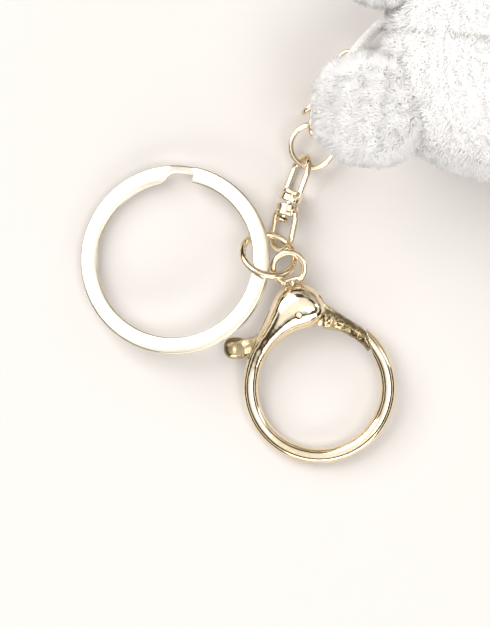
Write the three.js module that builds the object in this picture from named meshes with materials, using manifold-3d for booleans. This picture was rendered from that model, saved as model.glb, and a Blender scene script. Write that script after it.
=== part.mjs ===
// A plush bear cub on a key chain, lying face up: split ring, jump ring, round lobster clasp, two-ended
// swivel, small split ring and four curb links, hung on a cord loop that is sewn into the crown.
// Millimetres, +Z up. The model's origin is under the middle of its bounding box.
import * as THREE from "three";
import { mergeVertices } from "three/addons/utils/BufferGeometryUtils.js";
import Module from "manifold-3d";

const wasm = await Module();
wasm.setup();

const { Vector3, Matrix4 } = THREE;
const UP = new Vector3(0, 0, 1);
const TURN = 2 * Math.PI;
const rad = THREE.MathUtils.degToRad;
const vec = (x, y, z = 0) => new Vector3(x, y, z);
const polar = (radius, angle, z = 0) => vec(radius * Math.cos(angle), radius * Math.sin(angle), z);

// ---------------------------------------------------------------- driving dimensions
const GAP = 0.3; // between pieces that touch
const FIT = 0.12; // between a pin and its hole, all round
const FLOOR = 0.02; // under the lowest wires

const SPLIT = {
  across: 30,
  band: 2.6,
  coil: 0.8,
  slit: 0.1,
  neck: 0.5, // how much of the band's width is pressed away where it steps down
  cut: rad(77.5),
  joggle: rad(22),
  stop: rad(0.8),
};
const SPLIT_TILT = rad(10.65);
const SPLIT_RISE = vec(0.766, -0.643); // the side that the jump ring lifts

const JUMP = {
  mid: 4.23,
  wire: 1.15,
  slit: 0.25,
  slitAt: rad(150),
  centre: vec(14.7, 0.7, 4.81),
  tilt: rad(41.7),
  low: rad(72.4),
};

const CLASP = {
  centre: vec(22.7, -20.2),
  inner: 9.6,
  wire: 2.55,
  slopeUp: 0.125, // rise towards the head
  slopeSide: 0.06, // rise towards the gate
  head: 17.05,
  pivot: vec(-3.2, 11.95),
  end: rad(412),
  slot: 2.2,
  slotRound: 3.3,
  mouth: { reach: 7, from: rad(-88), to: rad(42) },
  seam: vec(7.65, 7.8),
  seamAngle: rad(15),
  seamGap: 0.15,
};
// The clasp's head and arm, station by station: angle round the ring, inner and outer radius, half thickness.
const ARM = [
  [rad(85), 11.6, 12.9, 1.3],
  [rad(88), 10.9, 14.2, 2.3],
  [rad(92), 10.3, 15.6, 2.9],
  [rad(97), 9.8, 16.6, 3.2],
  [rad(103), 9.6, 17.05, 3.3],
  [rad(109), 9.6, 17, 3.25],
  [rad(115), 9.6, 16.2, 3.15],
  [rad(121), 9.6, 15, 3],
  [rad(128), 9.6, 13.95, 2.7],
  [rad(136), 9.6, 13.2, 2.3],
  [rad(146), 9.6, 12.7, 1.85],
  [rad(168), 9.6, 12.15, 1.275],
];
// Drawn from the pivot, but for the gate, which is drawn round the ring.
const LEVER = {
  thick: 1.8,
  hub: 2.4,
  neck: 1.15,
  paddle: vec(1.95, 1.75, 0.9),
  tip: vec(-9.9, -5.65),
  bend: vec(-6.6, -4.95),
  tongue: [vec(0, 2.1), vec(0, -2.2), vec(5.6, -1.9), vec(5.6, 0.35), vec(3.4, 1.9)],
  press: rad(25),
};
const GATE = {
  root: rad(83),
  swellFrom: rad(74),
  tip: rad(36),
  trim: 0.5,
  half: 1.2,
  swellOut: 1,
  swellUp: 0.25,
};
const PIN = { radius: 0.5, length: 5.6 };
const SPRING = { mid: 1.35, wire: 0.3, turns: 2, pocket: 1.85, deep: 1.1 };
const EYE = {
  way: rad(102.4),
  mid: 2.475,
  wire: 1.05,
  reach: 7.25,
  foot: 0.4,
  clear: 0.35,
  stem: 0.6,
  flange: 0.95,
  flangeThick: 0.4,
};

const SWIVEL = {
  gap: vec(17.9, 9.0, 2.6),
  lowerEnd: vec(16.3, 1.0, 2.6),
  upperEnd: vec(20.75, 16.7, 3.08),
  lowerTwist: rad(52),
  upperTwist: rad(-64.5),
  spacing: 5,
  wire: 1.05,
  drum: 1.85,
  drumHigh: 1.9,
  drumGap: 0.45,
  pin: 0.5,
  kinkFit: 0.55, // the lower link hangs at a slant on the pin
  bead: vec(0.95, 0.42, 0.95),
  beadFit: 0.33,
};
const SMALL = {
  across: 7.7,
  wire: 0.9,
  slit: 0.08,
  centre: vec(21.6, 17.9, 3.16),
  tilt: rad(2),
  cut: rad(-14),
  joggle: rad(40),
  stop: rad(4),
};

const LINK_WIRE = 0.8;
const CHAIN = [
  { name: "chain_link_1", from: vec(21.95, 19.5, 3.3), to: vec(22.7, 27, 3.15), width: 3.6, twist: rad(62.5) },
  { name: "chain_link_2", from: vec(20.15, 23.1, 4.35), to: vec(24.05, 26.7, 4.5), width: 2.8, twist: rad(90) },
  { name: "chain_link_3", from: vec(23.15, 25.95, 4.5), to: vec(26.8, 29.6, 3.4), width: 2.8, twist: rad(30) },
  { name: "cord_link", from: vec(25.9, 28.4, 3.6), to: vec(27.75, 32.6, 3.95), width: 3, twist: rad(-20) },
];
const CORD = { wire: 1.5, sides: 8 };
const CORD_ROUTE = [
  vec(33.0, 37.3, 22.5),
  vec(31.6, 36.1, 19.2),
  vec(30.6, 35.2, 14.5),
  vec(29.7, 34.4, 10.0),
  vec(28.6, 33.2, 7.4),
  vec(27.6, 31.95, 6.4),
  vec(27.05, 31.3, 4.4),
  vec(27.5, 31.8, 2.2),
  vec(28.7, 33.1, 1.3),
  vec(30.1, 34.5, 2.6),
  vec(31.2, 35.5, 6.2),
  vec(32.0, 36.2, 11.0),
  vec(32.9, 36.9, 15.5),
];

// The plush in its own frame: x from crown to feet, y across, z from back to face, origin mid head.
const PLUSH = { place: vec(58.8, 31.6, 19.4), turn: Math.atan2(-0.12, 0.99) };
const HEAD = { half: vec(27, 21.2, 19), square: 3, wall: 2, neck: 8 };
const BODY = { middle: vec(44, 0, -1.5), half: vec(24, 20, 17.5), square: 2.3, wall: 2 };
const EAR = { middle: vec(-27.3, 12.3, 7), half: vec(9.2, 8.4, 4.6), splay: rad(4), droop: rad(28) };
const ARM_PAD = { root: vec(31.5, 19.5, 1), long: 22, wide: 6.2, splay: rad(38), lift: rad(6) };
const LEG = { root: vec(62.5, 13.5, -4), long: 21, wide: 7.6, splay: rad(22), lift: rad(2) };
const TAIL = { middle: vec(69, 0, -8), half: 5.5 };
const MUZZLE = { middle: vec(9, 0, 17), half: vec(7.5, 9, 5.5) };
const NOSE = { middle: vec(5.8, 0, 22.6), half: vec(2.3, 3.2, 1.9) };
const BUTTON = {
  x: -1,
  y: 10,
  radius: 2.6,
  high: 2,
  rise: 0.55,
  shank: 0.9,
  shankLong: 5.4,
  washer: 3,
  washerThick: 0.8,
};

// ---------------------------------------------------------------- materials
const finish = (color, roughness, metalness) => new THREE.MeshStandardMaterial({ color, roughness, metalness });
const GOLD = finish(0xe3c99a, 0.16, 1);
const STEEL = finish(0xb9b9b5, 0.3, 1);
const FUR = finish(0xf5f1ee, 0.95, 0);
const FILLING = finish(0xffffff, 1, 0);
const CORD_WHITE = finish(0xf2efec, 0.8, 0);
const BLACK = finish(0x17130f, 0.15, 0);
const PLASTIC = finish(0xe9e7e1, 0.5, 0);

// ---------------------------------------------------------------- shapes
// A closed surface through rings of points that all turn the same way, capped unless it closes on itself.
function loft(rings, closed = false) {
  const size = rings[0].length;
  const points = rings.flat();
  const faces = [];
  const last = closed ? rings.length : rings.length - 1;
  for (let i = 0; i < last; i++) {
    const next = (i + 1) % rings.length;
    for (let j = 0; j < size; j++) {
      const k = (j + 1) % size;
      const [a, b, c, d] = [i * size + j, i * size + k, next * size + k, next * size + j];
      faces.push([a, b, c], [a, c, d]);
    }
  }
  if (!closed) {
    for (const [start, flip] of [[0, true], [(rings.length - 1) * size, false]]) {
      for (let j = 1; j < size - 1; j++) {
        faces.push(flip ? [start, start + j + 1, start + j] : [start, start + j, start + j + 1]);
      }
    }
  }
  const turned = volume(points, faces) < 0;
  const geometry = new THREE.BufferGeometry().setFromPoints(points);
  geometry.setIndex(faces.map(([a, b, c]) => (turned ? [a, c, b] : [a, b, c])).flat());
  return geometry;
}

function volume(points, faces) {
  return faces.reduce((sum, [a, b, c]) => sum + points[a].dot(points[b].clone().cross(points[c])), 0) / 6;
}

// The outline of a wire's section at a point: round, or a flat bar when it has only four corners.
function section(at, across, up, halfAcross, halfUp, sides = 8) {
  return Array.from({ length: sides }, (_, i) => {
    const angle = (TURN * (i + 0.5)) / sides;
    const reach = 1 / Math.cos(TURN / (2 * sides));
    return at
      .clone()
      .addScaledVector(across, halfAcross * reach * Math.cos(angle))
      .addScaledVector(up, halfUp * reach * Math.sin(angle));
  });
}

// A round wire bent in the XY plane of its own frame through the given points.
function flatWire(points, wire, closed = false, sides = 8) {
  return loft(
    points.map((p, i) => {
      const before = points[closed ? (i + points.length - 1) % points.length : Math.max(i - 1, 0)];
      const after = points[closed ? (i + 1) % points.length : Math.min(i + 1, points.length - 1)];
      const across = after.clone().sub(before).normalize().cross(UP);
      return section(p, across, UP, wire / 2, wire / 2, sides);
    }),
    closed,
  );
}

function arc(centre, radius, from, to, steps) {
  const at = (share) => centre.clone().add(polar(radius, from + (to - from) * share));
  return Array.from({ length: steps + 1 }, (_, i) => at(i / steps));
}

// A wire ring with a slit where its ends meet.
function slitRing(mid, wire, slit, steps = 28) {
  return flatWire(arc(vec(0, 0), mid, slit / mid / 2, TURN - slit / mid / 2, steps), wire);
}

// A wire wound twice round on itself: over the top, down a joggle and round again underneath.
function doubleCoil({ mid, halfBand, halfCoil, rise, neck, cut, joggle, stop, steps, sides }) {
  const top = TURN - joggle - stop;
  const total = 2 * top + joggle;
  const at = (sweep) => {
    const down = THREE.MathUtils.smoothstep(sweep, top + 0.2 * joggle, top + joggle);
    const pressed = THREE.MathUtils.smoothstep(sweep, top, top + 0.45 * joggle);
    const slim = pressed - THREE.MathUtils.smoothstep(sweep, top + joggle + stop, top + 2 * joggle);
    const angle = cut - sweep;
    const half = halfBand * (1 - neck * slim);
    const centre = polar(mid + halfBand - half, angle, rise * (1 - 2 * down));
    return section(centre, polar(1, angle), UP, half, halfCoil, sides);
  };
  const around = (from, to, count) => Array.from({ length: count }, (_, i) => from + ((to - from) * i) / count);
  const stations = [
    ...around(0, top, steps),
    ...around(top, top + 2 * joggle, 16),
    ...around(top + 2 * joggle, total, steps),
    total,
  ];
  return loft(stations.map(at));
}

// An oval link: two straight sides and two round ends, in the XY plane, long along Y from 0 to length.
function ovalLink(length, width, wire) {
  const half = width / 2;
  const ends = [
    ...arc(vec(0, half), half, Math.PI, TURN, 8),
    ...arc(vec(0, length - half), half, 0, Math.PI, 8),
  ];
  return flatWire(ends, wire, true);
}

function solid(geometry) {
  const bare = geometry.clone();
  bare.deleteAttribute("normal");
  bare.deleteAttribute("uv");
  const merged = mergeVertices(bare, 1e-4);
  return new wasm.Manifold(
    new wasm.Mesh({
      numProp: 3,
      vertProperties: merged.attributes.position.array,
      triVerts: new Uint32Array(merged.index.array),
    }),
  );
}

function surface(made) {
  const { vertProperties, triVerts, numProp } = made.getMesh();
  const flat = new Float32Array((vertProperties.length / numProp) * 3);
  for (let i = 0; i < flat.length; i++) flat[i] = vertProperties[Math.floor(i / 3) * numProp + (i % 3)];
  const geometry = new THREE.BufferGeometry();
  geometry.setAttribute("position", new THREE.BufferAttribute(flat, 3));
  geometry.setIndex(new THREE.BufferAttribute(new Uint32Array(triVerts), 1));
  return geometry;
}

const join = (...solids) => solids.reduce((all, one) => all.add(one));
const cut = (from, ...tools) => tools.reduce((left, tool) => left.subtract(tool), from);

// A cylinder with its axis on any direction, from one point to another.
function rod(from, to, radius, sides = 14) {
  const along = to.clone().sub(from);
  const geometry = new THREE.CylinderGeometry(radius, radius, along.length(), sides);
  const turn = new THREE.Quaternion().setFromUnitVectors(vec(0, 1), along.clone().normalize());
  geometry.applyQuaternion(turn);
  return geometry.translate(...from.clone().add(to).multiplyScalar(0.5).toArray());
}

// A flat plate with the given outline, centred on z = 0.
function plate(outline, thick) {
  const shape = new THREE.Shape(outline.map((p) => new THREE.Vector2(p.x, p.y)));
  return new THREE.ExtrudeGeometry(shape, { depth: thick, bevelEnabled: false }).translate(0, 0, -thick / 2);
}

// A plump closed form: a sphere at square = 2, squarer as it grows.
function pad(middle, half, square = 2, around = 20, down = 12) {
  const geometry = new THREE.SphereGeometry(1, around, down).rotateX(Math.PI / 2);
  const place = geometry.getAttribute("position");
  for (let i = 0; i < place.count; i++) {
    const d = new Vector3().fromBufferAttribute(place, i);
    const sum = ["x", "y", "z"].reduce((all, axis) => all + Math.abs(d[axis] / half[axis]) ** square, 0);
    d.multiplyScalar(sum ** (-1 / square)).add(middle);
    place.setXYZ(i, d.x, d.y, d.z);
  }
  return geometry;
}

const grown = (half, by) => half.clone().addScalar(by);

// ---------------------------------------------------------------- placing
// A frame with its Y axis along a direction and its X axis level, then turned about Y.
function frameAlong(origin, along, twist = 0) {
  const y = along.clone().normalize();
  const x = y.clone().cross(UP).normalize().applyAxisAngle(y, twist);
  return new Matrix4().makeBasis(x, y, x.clone().cross(y)).setPosition(origin);
}

// A frame that leans from upright to the given normal by the shortest turn.
function frameLeaning(origin, normal) {
  const lean = new THREE.Quaternion().setFromUnitVectors(UP, normal.clone().normalize());
  return new Matrix4().compose(origin, lean, vec(1, 1, 1));
}

function piece(name, geometry, material, frame = new Matrix4()) {
  const mesh = new THREE.Mesh(geometry, material);
  mesh.name = name;
  frame.decompose(mesh.position, mesh.quaternion, mesh.scale);
  return mesh;
}

// ---------------------------------------------------------------- rings
function splitRing() {
  const outer = SPLIT.across / 2;
  const geometry = doubleCoil({
    mid: outer - SPLIT.band / 2,
    halfBand: SPLIT.band / 2,
    halfCoil: SPLIT.coil / 2,
    rise: (SPLIT.coil + SPLIT.slit) / 2,
    neck: SPLIT.neck,
    cut: SPLIT.cut,
    joggle: SPLIT.joggle,
    stop: SPLIT.stop,
    steps: 44,
    sides: 4,
  });
  const normal = SPLIT_RISE.clone().multiplyScalar(-Math.sin(SPLIT_TILT)).setZ(Math.cos(SPLIT_TILT));
  const halfHigh = SPLIT.coil + SPLIT.slit / 2;
  const high = outer * Math.sin(SPLIT_TILT) + halfHigh * Math.cos(SPLIT_TILT) + FLOOR;
  return piece("split_ring", geometry, GOLD, frameLeaning(vec(0, 0, high), normal));
}

function mainJumpRing() {
  const low = polar(Math.cos(JUMP.tilt), JUMP.low, -Math.sin(JUMP.tilt));
  const geometry = slitRing(JUMP.mid, JUMP.wire, JUMP.slit).rotateZ(JUMP.slitAt);
  return piece("main_jump_ring", geometry, GOLD, frameAlong(JUMP.centre, low));
}

function smallSplitRing() {
  const geometry = doubleCoil({
    mid: (SMALL.across - SMALL.wire) / 2,
    halfBand: SMALL.wire / 2,
    halfCoil: SMALL.wire / 2,
    rise: (SMALL.wire + SMALL.slit) / 2,
    neck: 0,
    cut: SMALL.cut,
    joggle: SMALL.joggle,
    stop: SMALL.stop,
    steps: 22,
    sides: 6,
  });
  const normal = vec(0, -Math.sin(SMALL.tilt), Math.cos(SMALL.tilt));
  return piece("small_split_ring", geometry, GOLD, frameLeaning(SMALL.centre, normal));
}

function chainLink({ name, from, to, width, twist }) {
  const along = to.clone().sub(from);
  return piece(name, ovalLink(along.length(), width, LINK_WIRE), GOLD, frameAlong(from, along, twist));
}

// ---------------------------------------------------------------- swivel
// One end of the swivel: a wire bail on a drum that the rivet passes through, long along Y from the gap.
function bail(length, hole) {
  const half = SWIVEL.spacing / 2;
  const wire = SWIVEL.wire;
  const start = SWIVEL.drumGap / 2;
  const top = start + SWIVEL.drumHigh;
  const turn = length - wire / 2 - half;
  const shoulder = [
    vec(SWIVEL.drum - wire / 2, top - 0.6 * wire),
    vec(half - wire / 3, top - wire / 4),
    vec(half, top + 0.7 * wire),
  ];
  const left = shoulder.map((p) => vec(-p.x, p.y)).reverse();
  const hoop = flatWire([...shoulder, ...arc(vec(0, turn), half, 0, Math.PI, 10), ...left], wire);
  const drum = rod(vec(0, start), vec(0, top), SWIVEL.drum);
  const bore = rod(vec(0, start - 1), vec(0, top + 1), hole, 12);
  return cut(join(solid(hoop), solid(drum)), solid(bore));
}

function swivel() {
  const up = SWIVEL.upperEnd.clone().sub(SWIVEL.gap);
  const down = SWIVEL.lowerEnd.clone().sub(SWIVEL.gap);
  const upper = bail(up.length(), SWIVEL.pin + FIT);
  const lower = bail(down.length(), SWIVEL.pin + SWIVEL.kinkFit);
  const top = SWIVEL.drumGap / 2 + SWIVEL.drumHigh;
  const low = vec(0, -top - SWIVEL.beadFit - SWIVEL.bead.y);
  const bead = pad(low, SWIVEL.bead, 2, 12, 8);
  const shaft = rod(low, vec(0, top - FIT), SWIVEL.pin, 12);
  const upperFrame = frameAlong(SWIVEL.gap, up, SWIVEL.upperTwist);
  return [
    piece("swivel_upper_link", surface(upper), GOLD, upperFrame),
    piece("swivel_lower_link", surface(lower), GOLD, frameAlong(SWIVEL.gap, down, SWIVEL.lowerTwist)),
    piece("swivel_pin", surface(join(solid(shaft), solid(bead))), GOLD, upperFrame),
  ];
}

// ---------------------------------------------------------------- clasp
// The clasp is drawn in its own plane about the centre of its ring; its frame leans the plane.
const headward = CLASP.pivot.clone().normalize();
const gateward = headward.clone().cross(UP);
const claspMid = CLASP.inner + CLASP.wire / 2;

function claspFrame() {
  const slope = Math.hypot(CLASP.slopeUp, CLASP.slopeSide);
  const normal = UP.clone()
    .addScaledVector(headward, -CLASP.slopeUp)
    .addScaledVector(gateward, -CLASP.slopeSide);
  const high = FLOOR + CLASP.wire / 2 + claspMid * slope;
  return frameLeaning(CLASP.centre.clone().setZ(high), normal);
}

// Smooth values of the head and arm at an angle round the ring: inner and outer radius, half thickness.
function armAt(angle) {
  const i = ARM.findIndex(([a]) => angle < a);
  if (i === 0) return ARM[0].slice(1);
  if (i < 0) return [CLASP.inner, CLASP.inner + CLASP.wire, CLASP.wire / 2];
  const share = (angle - ARM[i - 1][0]) / (ARM[i][0] - ARM[i - 1][0]);
  return [1, 2, 3].map((k) => THREE.MathUtils.lerp(ARM[i - 1][k], ARM[i][k], share));
}

// A block on one side of the slanted seam between gate and ring.
function seamBlock(side) {
  const big = 3 * CLASP.inner;
  const block = new THREE.BoxGeometry(big, big, big).translate((side * (big - CLASP.seamGap)) / 2, 0, 0);
  return solid(block.rotateZ(CLASP.seamAngle).translate(CLASP.seam.x, CLASP.seam.y, 0));
}

function ringSection(angle, inner, outer, half) {
  const mid = (inner + outer) / 2;
  return section(polar(mid, angle), polar(1, angle), UP, outer - mid, half, 10);
}

function claspBody(stemAxis) {
  const spread = (from, to, steps) => Array.from({ length: steps }, (_, i) => from + ((to - from) * i) / steps);
  const bend = ARM.at(-1)[0];
  const angles = [...ARM.slice(0, -1).map(([angle]) => angle), ...spread(bend, CLASP.end, 28), CLASP.end];
  const body = cut(solid(loft(angles.map((a) => ringSection(a, ...armAt(a))))), seamBlock(-1).intersect(gateQuarter()));
  const through = vec(0, 0, PIN.length);
  const hole = solid(rod(through.clone().negate(), through, PIN.radius + FIT, 12));
  const stem = rod(stemAxis.at(CLASP.slotRound - 1), stemAxis.at(EYE.reach), EYE.stem + FIT, 12);
  return cut(body, slot(), hole.translate(CLASP.pivot.toArray()), solid(stem));
}

// The quarter where the gate is, so that the seam doesn't cut the far side of the ring.
function gateQuarter() {
  const big = 4 * CLASP.inner;
  return solid(new THREE.BoxGeometry(big, big, big).translate(big / 2, big / 2, 0));
}

// The slot through the head for the lever: round its hub, open to the gate and to the tab.
function slot() {
  const hub = solid(rod(vec(0, 0, -CLASP.slot / 2), vec(0, 0, CLASP.slot / 2), CLASP.slotRound, 20));
  const { reach, from, to } = CLASP.mouth;
  const mouth = solid(plate([vec(0, 0), ...arc(vec(0, 0), reach, from, to, 6)], CLASP.slot));
  const turns = [0, 0.25, 0.5, 0.75, 1].map((share) => -share * THREE.MathUtils.radToDeg(LEVER.press));
  const paths = turns.map((turn) => leverNeck(LEVER.neck + GAP, CLASP.slot).rotate([0, 0, turn]));
  return join(hub, mouth, ...paths).translate(CLASP.pivot.toArray());
}

// The lever's bent neck from the pivot to the tab, as a flat bar with a round elbow.
function leverNeck(half, thick) {
  const { bend, tip } = LEVER;
  const strip = (a, b) => {
    const side = b.clone().sub(a).normalize().cross(UP).multiplyScalar(half);
    const corner = (end, sign) => end.clone().addScaledVector(side, sign);
    return solid(plate([corner(a, -1), corner(a, 1), corner(b, 1), corner(b, -1)], thick));
  };
  const elbow = solid(rod(vec(0, 0, -thick / 2), vec(0, 0, thick / 2), half, 12)).translate(bend.toArray());
  return join(strip(vec(0, 0), bend), elbow, strip(bend, tip));
}

// The lever in one piece: gate, hub in the slot, and the thumb tab on a bent neck.
function claspLever() {
  const { hub, neck, paddle, tip, thick, tongue } = LEVER;
  const disc = solid(rod(vec(0, 0, -thick / 2), vec(0, 0, thick / 2), hub, 20));
  const thumb = solid(pad(tip, paddle, 2.6, 18, 10));
  const arms = join(disc, leverNeck(neck, thick), thumb, solid(plate(tongue, thick)));
  const steps = 10;
  const gate = Array.from({ length: steps + 1 }, (_, i) => {
    const angle = GATE.root + ((GATE.tip - GATE.root) * i) / steps;
    const swell = Math.max(0, (angle - GATE.swellFrom) / (GATE.root - GATE.swellFrom));
    const outer = CLASP.inner + CLASP.wire - GATE.trim + GATE.swellOut * swell;
    return ringSection(angle, CLASP.inner, outer, GATE.half + GATE.swellUp * swell);
  });
  const made = join(arms.translate(CLASP.pivot.toArray()), cut(solid(loft(gate)), seamBlock(1)));
  const bore = rod(vec(0, 0, -thick), vec(0, 0, thick), PIN.radius + FIT, 12);
  const pocket = rod(vec(0, 0, thick / 2 - SPRING.deep), vec(0, 0, thick), SPRING.pocket, 18);
  return cut(made, ...[bore, pocket].map((tool) => solid(tool).translate(CLASP.pivot.toArray())));
}

function claspSpring() {
  const count = Math.round(SPRING.turns * 14);
  const pitch = SPRING.wire + 0.05;
  const low = LEVER.thick / 2 - SPRING.deep + SPRING.wire / 2 + FIT;
  const rings = Array.from({ length: count + 1 }, (_, i) => {
    const turns = (SPRING.turns * i) / count;
    const middle = polar(SPRING.mid, TURN * turns, low + pitch * turns).add(CLASP.pivot);
    return section(middle, polar(1, TURN * turns), UP, SPRING.wire / 2, SPRING.wire / 2, 6);
  });
  return loft(rings);
}

// The eye: a ring whose foot is cut flat above the head, on a stem that turns in the head.
function claspEye(stemAxis) {
  const ring = solid(flatWire(arc(vec(0, 0), EYE.mid, 0, TURN, 28).slice(0, -1), EYE.wire, true));
  const flat = CLASP.head - CLASP.pivot.length() + EYE.clear;
  const foot = -(EYE.reach - flat);
  const below = solid(new THREE.BoxGeometry(20, 20, 20).translate(0, foot - 10, 0));
  const legs = Math.sqrt(EYE.mid ** 2 - foot ** 2) + EYE.wire / 2 - 0.1;
  const bar = new THREE.BoxGeometry(2 * legs, EYE.foot, EYE.wire - 0.1).translate(0, foot + EYE.foot / 2, 0);
  const under = Math.sqrt((CLASP.slotRound - FIT) ** 2 - EYE.flange ** 2);
  const end = under - EYE.flangeThick - EYE.reach;
  const stem = solid(rod(vec(0, end), vec(0, foot + EYE.foot / 2), EYE.stem, 12));
  const flange = solid(rod(vec(0, end), vec(0, end + EYE.flangeThick), EYE.flange, 12));
  const made = join(cut(ring, below), solid(bar), stem, flange);
  return surface(made).rotateZ(EYE.way - Math.PI / 2).translate(...stemAxis.at(EYE.reach).toArray());
}

function clasp() {
  const way = polar(1, EYE.way);
  const stemAxis = { way, at: (reach) => CLASP.pivot.clone().addScaledVector(way, reach) };
  const pin = rod(vec(0, 0, -PIN.length / 2), vec(0, 0, PIN.length / 2), PIN.radius, 12);
  const parts = [
    piece("clasp_body", surface(claspBody(stemAxis)), GOLD),
    piece("clasp_lever", surface(claspLever()), GOLD),
    piece("clasp_pivot_pin", pin.translate(...CLASP.pivot.toArray()), GOLD),
    piece("clasp_spring", claspSpring(), STEEL),
    piece("clasp_eye", claspEye(stemAxis), GOLD),
  ];
  const group = new THREE.Group().add(...parts);
  claspFrame().decompose(group.position, group.quaternion, group.scale);
  return group;
}

// ---------------------------------------------------------------- cord
function cordLoop() {
  const shape = new THREE.Shape();
  shape.absarc(0, 0, CORD.wire / 2, 0, TURN);
  const extrudePath = new THREE.CatmullRomCurve3(CORD_ROUTE);
  const tube = { steps: 34, curveSegments: CORD.sides / 2, bevelEnabled: false, extrudePath };
  const head = headSkin(GAP).transform(plushFrame().toArray());
  return surface(cut(solid(new THREE.ExtrudeGeometry(shape, tube)), head));
}

// ---------------------------------------------------------------- plush
const plushFrame = () => new Matrix4().makeRotationZ(PLUSH.turn).setPosition(PLUSH.place);
const headSkin = (by) => solid(pad(vec(0, 0), grown(HEAD.half, by), HEAD.square));
const bodySkin = (by) => solid(pad(BODY.middle, grown(BODY.half, by), BODY.square));
const headTop = (x, y) => {
  const { half, square } = HEAD;
  return half.z * (1 - Math.abs(x / half.x) ** square - Math.abs(y / half.y) ** square) ** (1 / square);
};

// A limb or an ear: a pad placed at a root, pointing away from the body, cut clear of what it is sewn to.
function limb(side, { root, long, wide, splay, lift }, skin) {
  const half = vec(long / 2, wide, wide * 0.92);
  const shape = pad(vec(long / 2 - wide * 0.4, 0), half, 2.2, 14, 10);
  shape.rotateY(-lift).rotateZ(side * splay).translate(root.x, side * root.y, root.z);
  return surface(cut(solid(shape), skin));
}

function ear(side, skin) {
  const shape = pad(vec(0, 0), EAR.half, 2.3, 16, 10);
  const { x, y, z } = EAR.middle;
  shape.rotateY(-EAR.droop).rotateZ(side * -EAR.splay).translate(x, side * y, z);
  return surface(cut(solid(shape), skin));
}

function eyeButton(side) {
  const { x, y, radius, high, shank, shankLong } = BUTTON;
  const base = headTop(x, y) + BUTTON.rise;
  const profile = [
    new THREE.Vector2(0, -shankLong),
    new THREE.Vector2(shank, -shankLong),
    new THREE.Vector2(shank, 0),
    new THREE.Vector2(radius, 0),
    ...[15, 35, 55, 75].map((a) => new THREE.Vector2(radius * Math.cos(rad(a)), high * Math.sin(rad(a)))),
    new THREE.Vector2(0, high),
  ];
  return new THREE.LatheGeometry(profile, 14).rotateX(Math.PI / 2).translate(x, side * y, base);
}

function eyeWasher(side) {
  const { x, y, shank, washer, washerThick } = BUTTON;
  const top = headTop(x, y + washer) - HEAD.wall - 2 * GAP;
  const ring = [
    [shank + FIT, 0],
    [washer, 0],
    [washer, -washerThick],
    [shank + FIT, -washerThick],
    [shank + FIT, 0],
  ].map(([r, z]) => new THREE.Vector2(r, z));
  return new THREE.LatheGeometry(ring.reverse(), 14).rotateX(Math.PI / 2).translate(x, side * y, top);
}

function plush() {
  const { x, y, shank, washer } = BUTTON;
  const sides = [["left", 1], ["right", -1]];
  const post = (side, radius, from) => solid(rod(vec(x, side * y, from), vec(x, side * y, 30), radius, 12));
  const neck = (radius, from) => solid(rod(vec(from, 0), vec(HEAD.half.x + 9, 0), radius, 18));
  const headOut = headSkin(0);
  const headClear = headSkin(GAP);
  const bodyClear = bodySkin(GAP);
  const headCover = cut(
    headOut,
    headSkin(-HEAD.wall),
    neck(HEAD.neck, 10),
    ...sides.map(([, side]) => post(side, shank + FIT, 5)),
  );
  const bodyShape = cut(bodySkin(0), headClear);
  const bodyCover = cut(bodyShape, bodySkin(-BODY.wall));
  const below = headTop(x, y) - BUTTON.shankLong - BUTTON.washerThick;
  const washerRoom = sides.map(([, side]) => post(side, washer + GAP, below));
  const fillings = {
    head: cut(headSkin(-HEAD.wall - GAP), ...washerRoom),
    body: cut(bodySkin(-BODY.wall - GAP), headSkin(GAP + 1)),
  };
  const muzzleShape = (by) => solid(pad(MUZZLE.middle, grown(MUZZLE.half, by), 2, 18, 12));
  const group = new THREE.Group();
  group.add(
    piece("head_cover", surface(headCover), FUR),
    piece("head_filling", surface(fillings.head), FILLING),
    piece("body_cover", surface(bodyCover), FUR),
    piece("body_filling", surface(fillings.body), FILLING),
    piece("muzzle", surface(cut(muzzleShape(0), headClear)), FUR),
    piece("nose", surface(cut(solid(pad(NOSE.middle, NOSE.half, 2, 14, 10)), muzzleShape(0.1))), BLACK),
    piece("tail", surface(cut(solid(pad(TAIL.middle, grown(vec(0, 0), TAIL.half), 2, 14, 10)), bodyClear)), FUR),
  );
  for (const [name, side] of sides) {
    group.add(
      piece(`ear_${name}`, ear(side, headClear), FUR),
      piece(`arm_${name}`, limb(side, ARM_PAD, join(bodyClear, headSkin(GAP))), FUR),
      piece(`leg_${name}`, limb(side, LEG, bodyClear), FUR),
      piece(`eye_${name}`, eyeButton(side), BLACK),
      piece(`eye_washer_${name}`, eyeWasher(side), PLASTIC),
    );
  }
  group.rotation.z = PLUSH.turn;
  group.position.copy(PLUSH.place);
  return group;
}

// ---------------------------------------------------------------- assembly
const parts = new THREE.Group().add(
  splitRing(),
  mainJumpRing(),
  clasp(),
  ...swivel(),
  smallSplitRing(),
  ...CHAIN.map(chainLink),
  piece("cord_loop", cordLoop(), CORD_WHITE),
  plush(),
);
const box = new THREE.Box3().setFromObject(parts, true);
const middle = box.getCenter(vec(0, 0));
parts.position.set(-middle.x, -middle.y, -box.min.z);

export default new THREE.Group().add(parts);
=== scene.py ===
"""Looks for the plush bear cub on its key chain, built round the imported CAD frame. Metres, +Z up."""

import math

import bpy
import bmesh
import numpy as np
from mathutils import Matrix, Vector, noise


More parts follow.
